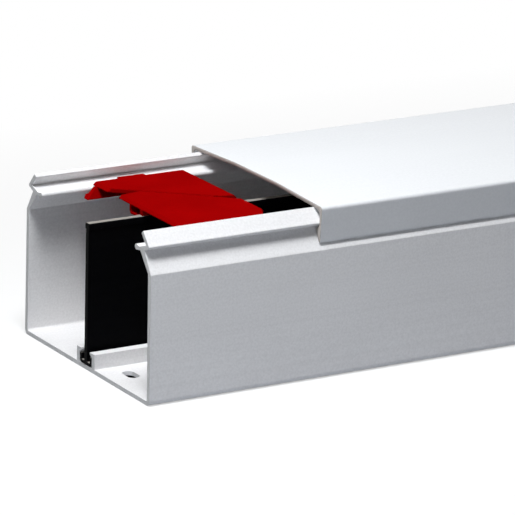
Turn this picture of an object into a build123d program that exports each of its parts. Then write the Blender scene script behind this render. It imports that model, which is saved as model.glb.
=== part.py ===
# PVC cable trunking: a U-shaped base with barbed heads, a clip-on lid set back from one end,
# a partition held between two floor ribs, and a cable retainer clipped across the mouth.
# X runs along the stock, Y across it and Z up. The origin is at the middle of the underside.
import os

from build123d import *

os.makedirs("parts", exist_ok=True)

# Stock and base channel
stock_length = 2000.0
base_width = 90.0
base_height = 60.0
floor_thickness = 1.5
wall_thickness = 1.8
wall_lean = 0.6
bottom_radius = 2.0
inner_radius = 0.8

# Head on top of each wall: neck, barb, ledge and bead
head_height = 14.0
neck_inset = 4.5
neck_rise = 7.4
fold_radius = 0.8
barb_overhang = 3.0
barb_heel_rise = 1.25
barb_heel_inset = 0.1
barb_edge_rise = 1.9
barb_edge_radius = 0.3
barb_top_inset = 1.1
barb_thickness = 1.5
groove_depth = 4.6
ledge_reach = 3.6
ledge_drop = 6.1
bead_reach = 5.6
bead_radius = 1.0
bead_drop = 6.65
bead_start_angle = 40.0
ledge_root_reach = 2.9
ledge_root_drop = 7.2

# Floor ribs that hold the partition
groove_width = 8.8
rib_thickness = 1.9
rib_height = 5.4
lip_overhang = 1.5
lip_thickness = 0.8

# Fixing slots in the floor, two rows
slot_length = 7.6
slot_width = 4.4
slot_spacing = 32.0
slot_end_distance = 9.0
slot_count = 9

# Lid
lid_setback = 66.2
lid_thickness = 1.3
lid_crown = 1.35
lid_corner_radius = 1.0
lid_inner_radius = 2.2
lid_flange_depth = 12.6
lid_flange_thickness = 1.2
lid_flange_lean = 0.75
lid_seat_clearance = 0.08
lid_side_clearance = 0.15
hook_clearance = 0.25
hook_play = 0.4
hook_tip_drop = 0.5
hook_tip_width = 0.25

# Partition
divider_thickness = 2.0
divider_headroom = 2.0
divider_bead_width = 2.8
divider_bead_height = 2.2
divider_bead_radius = 0.5
foot_wall = 1.2
foot_radius = 1.5
foot_clearance = 0.2

# Cable retainer
retainer_centre = 39.5
retainer_length = 35.0
retainer_thickness = 1.1
retainer_overlap = 1.4
retainer_depth = 4.9
retainer_seat_clearance = 0.1
tab_length = 10.5
tab_offset = 2.75
tab_reach = 1.8
flange_thickness = 1.3
flange_foot_width = 2.8
flange_clearance = 0.5
flange_lead = 0.7
flange_hook = 1.2
flange_hook_height = 1.2
saddle_span = 8.1
saddle_radius = 1.4
cheek_thickness = 0.7
cheek_clearance = 0.15
lip_grip = 1.25
keel_width = 2.0
keel_clearance = 0.1
crease_start = 23.5
crease_end = -6.0
crease_width = 1.0
crease_height = 0.3
notch_depth = 7.4
near_notch_width = 7.6
far_notch_width = 4.5
corner_cut_width = 14.7
corner_cut_depth = 6.9

# Places on the section, seen from the end: distance from the middle, then height
half_width = base_width / 2
fold = Vector(half_width - wall_lean, base_height - head_height)
fold_inner = fold - Vector(wall_thickness, 0)
floor_inner = Vector(half_width - wall_thickness, floor_thickness)
neck_top = fold + Vector(-neck_inset, neck_rise)
barb_heel = neck_top + Vector(barb_overhang - barb_heel_inset, barb_heel_rise)
barb_edge = neck_top + Vector(barb_overhang, barb_edge_rise)
barb_top = Vector(neck_top.X - barb_top_inset, base_height)
barb_up = (barb_top - barb_edge).normalized()
barb_in = Vector(-barb_up.Y, barb_up.X)
barb_top_inner = barb_top + barb_in * barb_thickness
groove_root_z = base_height - groove_depth
groove_root = barb_top_inner - barb_up * ((barb_top_inner.Y - groove_root_z) / barb_up.Y)
ledge_low = Vector(neck_top.X - ledge_reach, base_height - ledge_drop)
bead_centre = Vector(neck_top.X - bead_reach, base_height - bead_drop)
bead_start = bead_centre + Vector(0, bead_radius).rotate(Axis.Z, -bead_start_angle)
bead_tip = bead_centre - Vector(bead_radius, 0)
bead_end = bead_centre - Vector(0, bead_radius)
ledge_root = Vector(neck_top.X - ledge_root_reach, base_height - ledge_root_drop)
rib_inner = groove_width / 2
rib_outer = rib_inner + rib_thickness
rib_top = floor_thickness + rib_height
lip_tip = rib_inner - lip_overhang
lip_under = rib_top - lip_thickness
slot_pitch = (stock_length - 2 * slot_end_distance) / (slot_count - 1)

# Base: one extruded section with two rows of fixing slots in its floor
with BuildPart() as trunking_base:
    with BuildSketch(Plane.YZ) as base_section:
        with BuildLine():
            Polyline(
                (0, floor_thickness),
                (0, 0),
                (half_width, 0),
                fold,
                neck_top,
                barb_heel,
                barb_edge,
                barb_top,
                barb_top_inner,
                groove_root,
                ledge_low,
                bead_start,
            )
            ThreePointArc(bead_start, bead_tip, bead_end)
            Polyline(
                bead_end,
                ledge_root,
                fold_inner,
                floor_inner,
                (rib_outer, floor_thickness),
                (rib_outer, rib_top),
                (lip_tip, rib_top),
                (lip_tip, lip_under),
                (rib_inner, lip_under - lip_thickness),
                (rib_inner, floor_thickness),
                (0, floor_thickness),
            )
        make_face()
        mirror(about=Plane.YZ)
        fillet(base_section.vertices().group_by(Axis.Y)[0], radius=bottom_radius)
        wall_feet = base_section.vertices().filter_by(lambda v: abs(v.Y - floor_thickness) < 1e-6)
        fillet(wall_feet.filter_by(lambda v: abs(v.X) > rib_outer + 1e-6), radius=inner_radius)
        fold_corners = base_section.vertices().filter_by(lambda v: abs(v.Y - fold.Y) < 1e-6)
        fillet(fold_corners.filter_by(lambda v: abs(v.X) > fold.X - 1e-6), radius=fold_radius)
        barb_edges = base_section.vertices().filter_by(lambda v: abs(v.Y - barb_edge.Y) < 1e-6)
        fillet(barb_edges.filter_by(lambda v: abs(v.X) > barb_edge.X - 1e-6), radius=barb_edge_radius)
    extrude(amount=stock_length / 2, both=True)
    with BuildSketch(Plane.XY):
        with GridLocations(slot_pitch, slot_spacing, slot_count, 2):
            SlotOverall(slot_length, slot_width, rotation=90)
    extrude(amount=floor_thickness, mode=Mode.SUBTRACT)
trunking_base.part.label = "trunking_base"
export_step(trunking_base.part, "parts/trunking_base.step")

# Lid: a crowned cover whose flanges hook under the barbs
barb_side = barb_edge.X + lid_side_clearance
crown_at_barb = lid_crown * (1 - (barb_top.X / barb_side) ** 2)
lid_under_edge = base_height + lid_seat_clearance - crown_at_barb
lid_top_edge = lid_under_edge + lid_thickness
flange_bottom = lid_top_edge - lid_flange_depth
flange_slope = lid_flange_lean / lid_flange_depth
lid_inner_half = barb_side + (lid_under_edge - barb_edge.Y) * flange_slope
lid_half = barb_side + lid_flange_thickness + (lid_top_edge - barb_edge.Y) * flange_slope
hook_root_z = barb_heel.Y - hook_play
hook_root = Vector(barb_side - (barb_edge.Y - hook_root_z) * flange_slope, hook_root_z)
neck_slope = neck_inset / neck_rise
neck_gap = hook_clearance * (neck_inset**2 + neck_rise**2) ** 0.5 / neck_rise
hook_tip_z = neck_top.Y - hook_play - hook_tip_drop
hook_tip = Vector(neck_top.X + (neck_top.Y - hook_tip_z) * neck_slope + neck_gap, hook_tip_z)
hook_foot = Vector(neck_top.X + (neck_top.Y - flange_bottom) * neck_slope + neck_gap, flange_bottom)

with BuildPart() as lid:
    with BuildSketch(Plane.YZ.offset(lid_setback - stock_length / 2)) as lid_section:
        with BuildLine():
            top_arc = TangentArc((0, lid_top_edge + lid_crown), (lid_half, lid_top_edge), tangent=(1, 0))
            Polyline(
                top_arc @ 1,
                (lid_half - lid_flange_lean, flange_bottom),
                hook_foot,
                hook_tip,
                hook_tip + Vector(hook_tip_width, hook_tip_drop),
                hook_root,
                (lid_inner_half, lid_under_edge),
            )
            under_arc = TangentArc((0, lid_under_edge + lid_crown), (lid_inner_half, lid_under_edge), tangent=(1, 0))
            Line(under_arc @ 0, top_arc @ 0)
        make_face()
        mirror(about=Plane.YZ)
        lid_corners = lid_section.vertices().filter_by(lambda v: abs(v.Y - lid_top_edge) < 1e-6)
        fillet(lid_corners, radius=lid_corner_radius)
        lid_inner_corners = lid_section.vertices().filter_by(lambda v: abs(v.Y - lid_under_edge) < 1e-6)
        fillet(lid_inner_corners, radius=lid_inner_radius)
    extrude(amount=stock_length - lid_setback)
lid.part.label = "lid"
export_step(lid.part, "parts/lid.step")

# Levels of the cable retainer, which rests on both beads, and of the partition under it
plate_under = bead_centre.Y + bead_radius + retainer_seat_clearance
plate_top = plate_under + retainer_thickness
retainer_bottom = plate_top - retainer_depth
divider_top = plate_under - divider_headroom

# Partition: a plate with a bead along its top and a forked foot held under the rib lips
foot_bottom = floor_thickness + foot_clearance
foot_half = rib_inner - foot_clearance
foot_top = lip_under - lip_thickness - foot_clearance

with BuildPart() as divider:
    with BuildSketch(Plane.YZ) as divider_section:
        with Locations((0, foot_bottom)):
            Rectangle(divider_thickness, divider_top - foot_bottom, align=(Align.CENTER, Align.MIN))
            Rectangle(2 * foot_half, foot_wall, align=(Align.CENTER, Align.MIN))
        with Locations((-foot_half, foot_bottom)):
            Rectangle(foot_wall, foot_top - foot_bottom, align=(Align.MIN, Align.MIN))
        with Locations((foot_half, foot_bottom)):
            Rectangle(foot_wall, foot_top - foot_bottom, align=(Align.MAX, Align.MIN))
        fillet(divider_section.vertices().group_by(Axis.Y)[0], radius=foot_radius)
        with Locations((0, divider_top)):
            Rectangle(divider_bead_width, divider_bead_height, align=(Align.CENTER, Align.MAX))
        fillet(divider_section.vertices().group_by(Axis.Y)[-1], radius=divider_bead_radius)
    extrude(amount=stock_length / 2, both=True)
divider.part.label = "divider"
export_step(divider.part, "parts/divider.step")

# Cable retainer: a plate with hooked side flanges under both beads and a saddle on the partition
retainer_x = retainer_centre - stock_length / 2
near_edge = retainer_x - retainer_length / 2
far_edge = retainer_x + retainer_length / 2
plate_half = bead_tip.X + retainer_overlap
flange_reach = flange_lead + retainer_depth
flange_length = retainer_length + 2 * flange_reach
flange_outer = bead_tip.X - flange_clearance
flange_inner = flange_outer - flange_thickness
saddle_length = retainer_length + 2 * retainer_thickness
lip_inner = divider_bead_width / 2 + cheek_clearance
lip_bottom = divider_top - lip_grip
lip_top = lip_bottom + cheek_thickness
keel_bottom = divider_top + keel_clearance
crease_slope = (crease_end - crease_start) / retainer_length

with BuildPart() as cable_retainer:
    # Hooked side flanges, whose ends slope outward going down
    with BuildSketch(Plane.YZ.offset(retainer_x - flange_length / 2)):
        with BuildLine():
            Polyline(
                (flange_inner, plate_under),
                (flange_outer - flange_foot_width, retainer_bottom),
                (flange_outer, retainer_bottom),
                (flange_outer + flange_hook, retainer_bottom + flange_hook_height),
                (flange_outer, retainer_bottom + flange_hook_height),
                (flange_outer, plate_under),
                close=True,
            )
        make_face()
        mirror(about=Plane.YZ)
    extrude(amount=flange_length)
    with BuildSketch(Plane.XZ):
        with BuildLine():
            Polyline(
                (near_edge - flange_lead, plate_top),
                (far_edge + flange_lead, plate_top),
                (far_edge + flange_reach, retainer_bottom),
                (near_edge - flange_reach, retainer_bottom),
                close=True,
            )
        make_face()
    extrude(amount=plate_half, both=True, mode=Mode.INTERSECT)
    # Plate with bevelled ends
    with BuildSketch(Plane.XZ):
        with BuildLine():
            Polyline(
                (near_edge, plate_top),
                (far_edge, plate_top),
                (far_edge + retainer_thickness, plate_under),
                (near_edge - retainer_thickness, plate_under),
                close=True,
            )
        make_face()
    extrude(amount=plate_half, both=True)
    # Saddle: a keel that rests along the partition, and a hollow loop beside it that grips the bead
    with BuildSketch(Plane.YZ.offset(retainer_x - saddle_length / 2)) as saddle_section:
        with BuildLine():
            Polyline(
                (saddle_span, plate_under),
                (saddle_span, lip_bottom),
                (lip_inner, lip_bottom),
                (lip_inner, lip_top),
                (saddle_span - cheek_thickness, lip_top),
                (saddle_span - cheek_thickness, plate_under),
                close=True,
            )
        make_face()
        saddle_feet = saddle_section.vertices().group_by(Axis.Y)[0]
        fillet(saddle_feet.sort_by(Axis.X)[-1], radius=saddle_radius)
        with Locations((0, plate_under)):
            Rectangle(keel_width, plate_under - keel_bottom, align=(Align.CENTER, Align.MAX))
    extrude(amount=saddle_length)
    # A tab on each side edge
    with BuildSketch(Plane.XY.offset(plate_under)):
        with Locations((retainer_x - tab_offset, plate_half)):
            Rectangle(tab_length, tab_reach, align=(Align.CENTER, Align.MIN))
        with Locations((retainer_x + tab_offset, -plate_half)):
            Rectangle(tab_length, tab_reach, align=(Align.CENTER, Align.MAX))
    extrude(amount=retainer_thickness)
    # A raised crease runs aslant across the plate, with a sharp notch beside it at each end
    with BuildSketch(Plane.XY.offset(plate_top)):
        with BuildLine():
            Polyline(
                (near_edge, crease_start),
                (far_edge, crease_end),
                (far_edge, crease_end + crease_width),
                (near_edge, crease_start + crease_width),
                close=True,
            )
        make_face()
    extrude(amount=crease_height)
    with BuildSketch(Plane.XY.offset(plate_under)):
        with BuildLine():
            Polyline(
                (near_edge - retainer_thickness, crease_start - crease_slope * retainer_thickness),
                (near_edge - retainer_thickness, crease_start - near_notch_width),
                (near_edge + notch_depth, crease_start + crease_slope * notch_depth),
                close=True,
            )
        make_face()
        with BuildLine():
            Polyline(
                (far_edge + retainer_thickness, crease_end + crease_slope * retainer_thickness),
                (far_edge + retainer_thickness, crease_end + far_notch_width),
                (far_edge - notch_depth, crease_end - crease_slope * notch_depth),
                close=True,
            )
        make_face()
    extrude(amount=retainer_thickness + crease_height, mode=Mode.SUBTRACT)
    # One corner of the plate is cut off aslant, with the flange below it
    with BuildSketch(Plane.XY.offset(retainer_bottom)):
        with BuildLine():
            Polyline(
                (far_edge, corner_cut_width - plate_half),
                (far_edge - corner_cut_depth, -plate_half),
                (far_edge + flange_reach, -plate_half),
                (far_edge + flange_reach, corner_cut_width - plate_half),
                close=True,
            )
        make_face()
    extrude(amount=retainer_depth, mode=Mode.SUBTRACT)
cable_retainer.part.label = "cable_retainer"
export_step(cable_retainer.part, "parts/cable_retainer.step")
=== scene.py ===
# Looks for a length of cable trunking: white base and lid, black partition, red cable retainer.
import math

import bpy
from mathutils import Matrix, Vector


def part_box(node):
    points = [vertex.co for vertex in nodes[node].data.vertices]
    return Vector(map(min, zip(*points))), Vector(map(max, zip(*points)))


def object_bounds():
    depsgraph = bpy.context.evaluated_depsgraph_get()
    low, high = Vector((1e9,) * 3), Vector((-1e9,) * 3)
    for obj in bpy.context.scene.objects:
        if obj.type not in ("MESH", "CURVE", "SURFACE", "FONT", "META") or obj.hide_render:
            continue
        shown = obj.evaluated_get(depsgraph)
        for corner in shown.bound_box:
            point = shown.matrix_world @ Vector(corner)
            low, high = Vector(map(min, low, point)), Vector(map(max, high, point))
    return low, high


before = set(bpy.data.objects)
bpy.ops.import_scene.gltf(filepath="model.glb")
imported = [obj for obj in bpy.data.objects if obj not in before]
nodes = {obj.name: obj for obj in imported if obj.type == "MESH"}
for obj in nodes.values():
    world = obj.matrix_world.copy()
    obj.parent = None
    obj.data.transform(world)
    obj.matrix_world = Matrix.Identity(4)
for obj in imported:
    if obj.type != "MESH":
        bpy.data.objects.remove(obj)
cadLow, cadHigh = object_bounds()
scene = bpy.context.scene
scene.view_settings.view_transform = "Standard"
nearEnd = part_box("trunking_base")[0].x  # the cut end that faces the camera
print("frame loaded:", ", ".join(sorted(nodes)))


# Node helpers
def newMaterial(name):
    material = bpy.data.materials.new(name)
    material.use_nodes = True
    tree = material.node_tree
    tree.nodes.clear()
    return material, tree


def addNode(tree, kind, inputs=None, **settings):
    # an input is a socket to link or a plain value to set
    node = tree.nodes.new(kind)
    for key, value in settings.items():
        setattr(node, key, value)
    for key, value in (inputs or {}).items():
        if isinstance(value, bpy.types.NodeSocket):
            tree.links.new(value, node.inputs[key])
        else:
            node.inputs[key].default_value = value
    return node


def addShader(tree, specular):
    shader = addNode(tree, "ShaderNodeBsdfPrincipled", {"Specular IOR Level": specular})
    addNode(tree, "ShaderNodeOutputMaterial", {"Surface": shader.outputs["BSDF"]})
    return shader


def mathNode(tree, operation, first, second=0.0):
    node = addNode(tree, "ShaderNodeMath", {0: first, 1: second}, operation=operation)
    return node.outputs[0]


def remap(tree, value, span, newSpan=(0.0, 1.0)):
    node = addNode(tree, "ShaderNodeMapRange", {
        "Value": value,
        "From Min": span[0],
        "From Max": span[1],
        "To Min": newSpan[0],
        "To Max": newSpan[1],
    })
    return node.outputs[0]


def mixColour(tree, factor, first, second):
    # 6 and 7 are the mix node's colour inputs, 2 is its colour output
    node = addNode(tree, "ShaderNodeMix", {0: factor, 6: first, 7: second}, data_type="RGBA")
    return node.outputs[2]


def mixShader(tree, factor, first, second):
    return addNode(tree, "ShaderNodeMixShader", {0: factor, 1: first.outputs[0], 2: second.outputs[0]})


def stretchedNoise(tree, coords, field):
    # noise with its own scale along each axis, in cycles per metre
    placed = addNode(tree, "ShaderNodeMapping", {"Vector": coords, "Scale": field["scale"]})
    noise = addNode(tree, "ShaderNodeTexNoise", {
        "Vector": placed.outputs[0],
        "Scale": 1.0,
        "Detail": field["detail"],
        "Roughness": field["roughness"],
    })
    return noise.outputs[0]


def addRelief(tree, shader, height, depth, look):
    # fine relief over edges that are softened in the shading
    edge = addNode(tree, "ShaderNodeBevel", {"Radius": look["edgeRadius"]}, samples=look["edgeSamples"])
    bump = addNode(tree, "ShaderNodeBump", {
        "Height": height,
        "Distance": depth,
        "Normal": edge.outputs[0],
    })
    tree.links.new(bump.outputs[0], shader.inputs["Normal"])


def seenRay(tree):
    # 1 for rays from the camera, in reflections and through glass, 0 for light thrown on by surfaces
    path = addNode(tree, "ShaderNodeLightPath")
    seen = mathNode(tree, "MAXIMUM", path.outputs["Is Camera Ray"], path.outputs["Is Glossy Ray"])
    return mathNode(tree, "MAXIMUM", seen, path.outputs["Is Transmission Ray"])


def dress(nodeName, material):
    node = nodes[nodeName]
    node.data.materials.clear()
    node.data.materials.append(material)
    print("dressed", nodeName, "in", material.name)


# Extruded PVC: die lines along the stock, a fine satin mottle, saw marks on the cut ends, whose colours
# also carry painted shade
def extrudedPvc(name, look):
    material, tree = newMaterial(name)
    shader = addShader(tree, look["specular"])
    place = addNode(tree, "ShaderNodeTexCoord")
    coords = place.outputs["Object"]
    facing = addNode(tree, "ShaderNodeSeparateXYZ", {0: place.outputs["Normal"]}).outputs
    dieLines = stretchedNoise(tree, coords, look["dieLines"])
    cloud = stretchedNoise(tree, coords, look["cloud"])
    mottle = stretchedNoise(tree, coords, look["mottle"])
    grain = stretchedNoise(tree, coords, look["grain"])
    sawMarks = stretchedNoise(tree, coords, look["sawMarks"])

    # faces across the stock are saw cuts
    cutFace = mathNode(tree, "GREATER_THAN", mathNode(tree, "ABSOLUTE", facing[0]), look["cutSteepness"])
    skinFace = mathNode(tree, "SUBTRACT", 1.0, cutFace)

    shade = mathNode(tree, "MULTIPLY", dieLines, look["dieLineShare"])
    shade = mathNode(tree, "ADD", shade, mathNode(tree, "MULTIPLY", cloud, look["cloudShare"]))
    shade = mathNode(tree, "ADD", shade, mathNode(tree, "MULTIPLY", mottle, look["mottleShare"]))
    tint = remap(tree, shade, look["tintSpan"])
    skin = mixColour(tree, tint, look["darkColour"], look["paleColour"])
    if look["topColour"]:
        # level faces paler than the rest
        levelPaler = remap(tree, facing[2], look["topSpan"])
        skin = mixColour(tree, levelPaler, skin, look["topColour"])
    # cut ends: real saw marks, in colours that carry painted shade where a look sets them darker than
    # the skin
    sawnAndShaded = mixColour(tree, sawMarks, look["cutDark"], look["cutPale"])
    tree.links.new(mixColour(tree, cutFace, skin, sawnAndShaded), shader.inputs["Base Color"])

    gloss = remap(tree, dieLines, look["glossSpan"], (look["smoothest"], look["roughest"]))
    cutGloss = mathNode(tree, "MULTIPLY", cutFace, look["cutRoughness"])
    tree.links.new(mathNode(tree, "MAXIMUM", gloss, cutGloss), shader.inputs["Roughness"])

    skinHeight = mathNode(tree, "ADD", dieLines, mathNode(tree, "MULTIPLY", grain, look["grainShare"]))
    skinHeight = mathNode(tree, "MULTIPLY", skinHeight, skinFace)
    sawHeight = mathNode(tree, "MULTIPLY", cutFace, look["sawDepth"])
    sawHeight = mathNode(tree, "MULTIPLY", sawMarks, sawHeight)
    height = mathNode(tree, "ADD", skinHeight, sawHeight)
    addRelief(tree, shader, height, look["reliefDepth"], look)
    return material


# Base channel
baseLook = {
    "paleColour": (0.838, 0.832, 0.839, 1),
    "darkColour": (0.738, 0.731, 0.736, 1),
    "tintSpan": (0.35, 0.65),  # noise values that give the dark and the pale colour
    "topColour": None,
    "dieLines": {"scale": (1.2, 700.0, 700.0), "detail": 3.0, "roughness": 0.6},
    "dieLineShare": 0.22,
    "cloud": {"scale": (14.0, 30.0, 30.0), "detail": 2.0, "roughness": 0.5},
    "cloudShare": 0.22,
    "mottle": {"scale": (1300.0, 1300.0, 1300.0), "detail": 2.0, "roughness": 0.5},
    "mottleShare": 0.56,
    "grain": {"scale": (2600.0, 2600.0, 2600.0), "detail": 1.0, "roughness": 0.5},
    "grainShare": 0.35,
    "reliefDepth": 0.00002,
    "glossSpan": (0.3, 0.7),  # noise values that give the smoothest and the roughest finish
    "smoothest": 0.40,
    "roughest": 0.52,
    "specular": 0.10,
    "edgeRadius": 0.00030,
    "edgeSamples": 6,
    "cutSteepness": 0.9,
    # painted shade: the cut ends are coloured darker than the skin to give them the shade of the end
    # faces
    "cutPale": (0.690, 0.685, 0.675, 1),
    "cutDark": (0.580, 0.575, 0.565, 1),
    "cutRoughness": 0.62,
    "sawMarks": {"scale": (90.0, 160.0, 2400.0), "detail": 2.0, "roughness": 0.5},
    "sawDepth": 2.0,  # times the relief's depth
}
dress("trunking_base", extrudedPvc("whitePvcBase", baseLook))

# Lid: the same stock, a little smoother on its face, with its colours painted darker than the base's as
# painted shade against the near lamp
lidLook = baseLook | {
    # painted shade: darker than the base's colours, to hold the lid below white under the near lamp
    "paleColour": (0.750, 0.759, 0.776, 1),
    "darkColour": (0.702, 0.711, 0.728, 1),
    "smoothest": 0.36,
    "roughest": 0.46,
    "specular": 0.06,
    "edgeRadius": 0.0013,  # the lid's long corners are softly rounded
    # painted shade: the lid's thin cut ends are darker and warmer still
    "cutPale": (0.54, 0.50, 0.47, 1),
    "cutDark": (0.45, 0.41, 0.38, 1),
}
dress("lid", extrudedPvc("whitePvcLid", lidLook))

# Partition: black, a little smoother, with its top edge pale
dividerLook = baseLook | {
    "paleColour": (0.0030, 0.0030, 0.0036, 1),
    "darkColour": (0.0016, 0.0016, 0.0022, 1),
    "topColour": (0.275, 0.258, 0.235, 1),
    "topSpan": (0.80, 0.95),  # how level a face is where the paler colour starts and is full
    "smoothest": 0.34,
    "roughest": 0.48,
    "specular": 0.02,
    "cutPale": (0.0034, 0.0034, 0.0034, 1),
    "cutDark": (0.0018, 0.0018, 0.0018, 1),
}
dress("divider", extrudedPvc("blackPvcDivider", dividerLook))

# Cable retainer: moulded red plastic, spark-grained
retainerLook = {
    "paleColour": (0.290, 0.0007, 0.0010, 1),
    "darkColour": (0.256, 0.0005, 0.0008, 1),
    "tintSpan": (0.35, 0.65),
    "cloud": {"scale": (60.0, 60.0, 60.0), "detail": 3.0, "roughness": 0.5},
    "grain": {"scale": (2200.0, 2200.0, 2200.0), "detail": 1.0, "roughness": 0.5},
    "grainDepth": 0.00004,
    "glossSpan": (0.3, 0.7),
    "smoothest": 0.62,
    "roughest": 0.78,
    "specular": 0.0,
    "edgeRadius": 0.00035,
    "edgeSamples": 6,
}


def mouldedPlastic(name, look):
    material, tree = newMaterial(name)
    shader = addShader(tree, look["specular"])
    coords = addNode(tree, "ShaderNodeTexCoord").outputs["Object"]
    cloud = stretchedNoise(tree, coords, look["cloud"])
    grain = stretchedNoise(tree, coords, look["grain"])
    tint = remap(tree, cloud, look["tintSpan"])
    colour = mixColour(tree, tint, look["darkColour"], look["paleColour"])
    tree.links.new(colour, shader.inputs["Base Color"])
    gloss = remap(tree, grain, look["glossSpan"], (look["smoothest"], look["roughest"]))
    tree.links.new(gloss, shader.inputs["Roughness"])
    addRelief(tree, shader, grain, look["grainDepth"], look)
    return material


dress("cable_retainer", mouldedPlastic("redPlastic", retainerLook))

# Pale floor under the stock, far wider than any view of it, with painted shade below the stock
floorLook = {
    "halfWidth": 40.0,
    "drop": 0.0001,  # gap below the stock
    "seenColour": (0.90, 0.90, 0.90, 1),
    "paintedShadeBelowColour": (0.006, 0.006, 0.006, 1),  # painted shade below the stock, seen through its screw slots
    "bounceColour": (0.455, 0.47, 0.505, 1),  # what the floor throws back onto the stock
    "whiteStrength": 1.0,
    "whiteShare": 0.55,  # close to the stock, where its shadow falls
    "fadeReach": 0.25,  # distance from the stock at which the floor is plain white
    "edgeInset": 0.004,  # the painted shade below the stock starts this far in from its outline
}


def outsideStock(tree):
    # distance in plan from the outline of the stock, below zero under it
    coords = addNode(tree, "ShaderNodeTexCoord").outputs["Object"]
    place = addNode(tree, "ShaderNodeSeparateXYZ", {0: coords}).outputs
    middle = (cadLow + cadHigh) / 2
    halfSize = (cadHigh - cadLow) / 2
    gaps = []
    for axis in (0, 1):
        offset = mathNode(tree, "SUBTRACT", place[axis], middle[axis])
        offset = mathNode(tree, "ABSOLUTE", offset)
        gaps.append(mathNode(tree, "SUBTRACT", offset, halfSize[axis]))
    return mathNode(tree, "MAXIMUM", *gaps)


def floorPaint(name, look):
    material, tree = newMaterial(name)
    away = outsideStock(tree)
    beside = mathNode(tree, "GREATER_THAN", away, -look["edgeInset"])
    share = remap(tree, away, (0.0, look["fadeReach"]), (look["whiteShare"], 1.0))
    share = mathNode(tree, "MULTIPLY", share, beside)
    # the camera and reflections see a white floor that keeps its shadows
    # painted shade below the stock, pale floor beside it
    colour = mixColour(tree, beside, look["paintedShadeBelowColour"], look["seenColour"])
    paint = addNode(tree, "ShaderNodeBsdfDiffuse", {"Color": colour})
    white = addNode(tree, "ShaderNodeEmission", {"Strength": look["whiteStrength"]})
    seen = mixShader(tree, share, paint, white)
    bounce = addNode(tree, "ShaderNodeBsdfDiffuse", {"Color": look["bounceColour"]})
    mixed = mixShader(tree, seenRay(tree), bounce, seen)
    addNode(tree, "ShaderNodeOutputMaterial", {"Surface": mixed.outputs[0]})
    return material


def makeFloor(look):
    reach = look["halfWidth"]
    corners = [(-reach, -reach, 0), (reach, -reach, 0), (reach, reach, 0), (-reach, reach, 0)]
    mesh = bpy.data.meshes.new("floor")
    mesh.from_pydata(corners, [], [(0, 1, 2, 3)])
    mesh.materials.append(floorPaint("paleFloor", look))
    floor = bpy.data.objects.new("floor", mesh)
    floor.location.z = cadLow.z - look["drop"]
    scene.collection.objects.link(floor)


makeFloor(floorLook)
print("floor laid")

# World: faint even light, seen as white by the camera and in reflections
worldLook = {
    "lightColour": (1.0, 0.98, 0.95, 1),
    "lightStrength": 0.02,
    "seenColour": (1, 1, 1, 1),
    "seenStrength": 1.0,
}


def makeWorld(look):
    world = bpy.data.worlds.new("softRoom")
    world.use_nodes = True
    tree = world.node_tree
    tree.nodes.clear()
    light = addNode(tree, "ShaderNodeBackground", {
        "Color": look["lightColour"],
        "Strength": look["lightStrength"],
    })
    white = addNode(tree, "ShaderNodeBackground", {
        "Color": look["seenColour"],
        "Strength": look["seenStrength"],
    })
    mixed = mixShader(tree, seenRay(tree), light, white)
    addNode(tree, "ShaderNodeOutputWorld", {"Surface": mixed.outputs[0]})
    scene.world = world


makeWorld(worldLook)
print("world lit")

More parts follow.
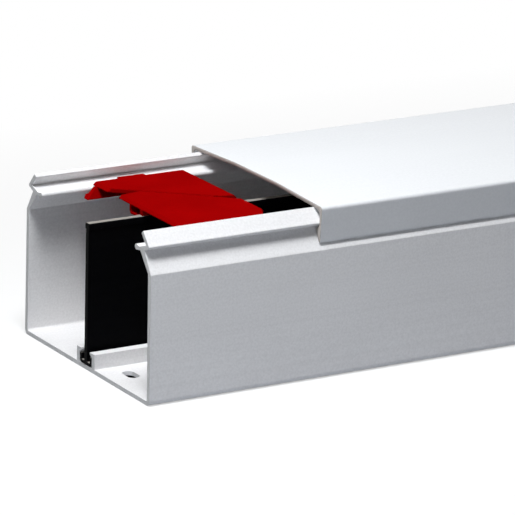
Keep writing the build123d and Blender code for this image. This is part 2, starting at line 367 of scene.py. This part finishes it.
# Lamps: soft boxes over and before the near end, narrower ones along the rest of the stock.
# Places are metres from the near end, spreads are degrees.
lamps = {
    "keyBox": {
        "place": (-0.100, -0.122, 0.550), "aim": (0.05, 0.0, 0.03), "size": (0.22, 0.18),
        "spread": 180.0, "watts": 4.0, "colour": (0.965, 0.985, 1.0), "mirrored": True,
    },
    "topBox": {
        "place": (0.70, 0.02, 0.90), "aim": (0.70, 0.0, 0.03), "size": (0.40, 0.30),
        "spread": 70.0, "watts": 0.9, "colour": (1.0, 1.0, 1.0), "mirrored": False,
    },
    "frontBox": {
        "place": (-0.15, -0.25, 0.16), "aim": (0.03, -0.045, 0.03), "size": (0.16, 0.16),
        "spread": 180.0, "watts": 0.06, "colour": (0.92, 0.96, 1.0), "mirrored": True,
    },
    "lengthBox": {
        "place": (1.45, -0.30, 1.00), "aim": (1.45, 0.0, 0.03), "size": (1.20, 0.40),
        "spread": 90.0, "watts": 3.8, "colour": (1.0, 1.0, 1.0), "mirrored": False,
    },
    "backBox": {
        "place": (1.10, 1.20, 0.14), "aim": (1.10, 0.0, 0.03), "size": (2.00, 0.20),
        "spread": 90.0, "watts": 2.6, "colour": (1.0, 1.0, 1.0), "mirrored": False,
    },
    "farBox": {
        "place": (2.80, -0.25, 0.60), "aim": (2.00, 0.0, 0.03), "size": (0.50, 0.50),
        "spread": 90.0, "watts": 2.0, "colour": (1.0, 1.0, 1.0), "mirrored": False,
    },
}


def makeLamp(name, look):
    lamp = bpy.data.lights.new(name, "AREA")
    lamp.shape = "RECTANGLE"
    lamp.size, lamp.size_y = look["size"]
    lamp.spread = math.radians(look["spread"])
    lamp.energy = look["watts"]
    lamp.color = look["colour"]
    holder = bpy.data.objects.new(name, lamp)
    start = Vector((nearEnd, 0, 0))
    holder.location = start + Vector(look["place"])
    aim = start + Vector(look["aim"]) - holder.location
    holder.rotation_euler = aim.to_track_quat("-Z", "Y").to_euler()
    holder.visible_camera = False
    holder.visible_glossy = look["mirrored"]
    scene.collection.objects.link(holder)


for lampName, lampLook in lamps.items():
    makeLamp(lampName, lampLook)
print("lamps hung:", ", ".join(lamps))

# Camera: place in metres from the near end, angles in degrees
cameraLook = {
    "place": (-0.6417, -1.1780, 0.4484),
    "azimuth": 31.066,
    "elevation": 16.880,
    "roll": 1.468,
    "focalPixels": 4103.0,
    "imagePixels": 515.0,
    "sensorWidth": 36.0,  # millimetres
    "sightReach": 200.0,  # past the floor's edge
}


def makeCamera(look):
    data = bpy.data.cameras.new("photoCamera")
    data.sensor_width = look["sensorWidth"]
    data.lens = look["focalPixels"] / look["imagePixels"] * data.sensor_width
    data.clip_end = look["sightReach"]
    azimuth, elevation, roll = (math.radians(look[key]) for key in ("azimuth", "elevation", "roll"))
    ahead = Vector((math.sin(azimuth), math.cos(azimuth), 0))
    forward = ahead * math.cos(elevation) - Vector((0, 0, math.sin(elevation)))
    level = Vector((math.cos(azimuth), -math.sin(azimuth), 0))
    upright = level.cross(forward)
    right = level * math.cos(roll) + upright * math.sin(roll)
    up = upright * math.cos(roll) - level * math.sin(roll)
    turn = Matrix((right, up, -forward)).transposed().to_4x4()
    place = Vector((nearEnd, 0, 0)) + Vector(look["place"])
    camera = bpy.data.objects.new("photoCamera", data)
    camera.matrix_world = Matrix.Translation(place) @ turn
    scene.collection.objects.link(camera)
    scene.camera = camera


makeCamera(cameraLook)
print("camera placed")
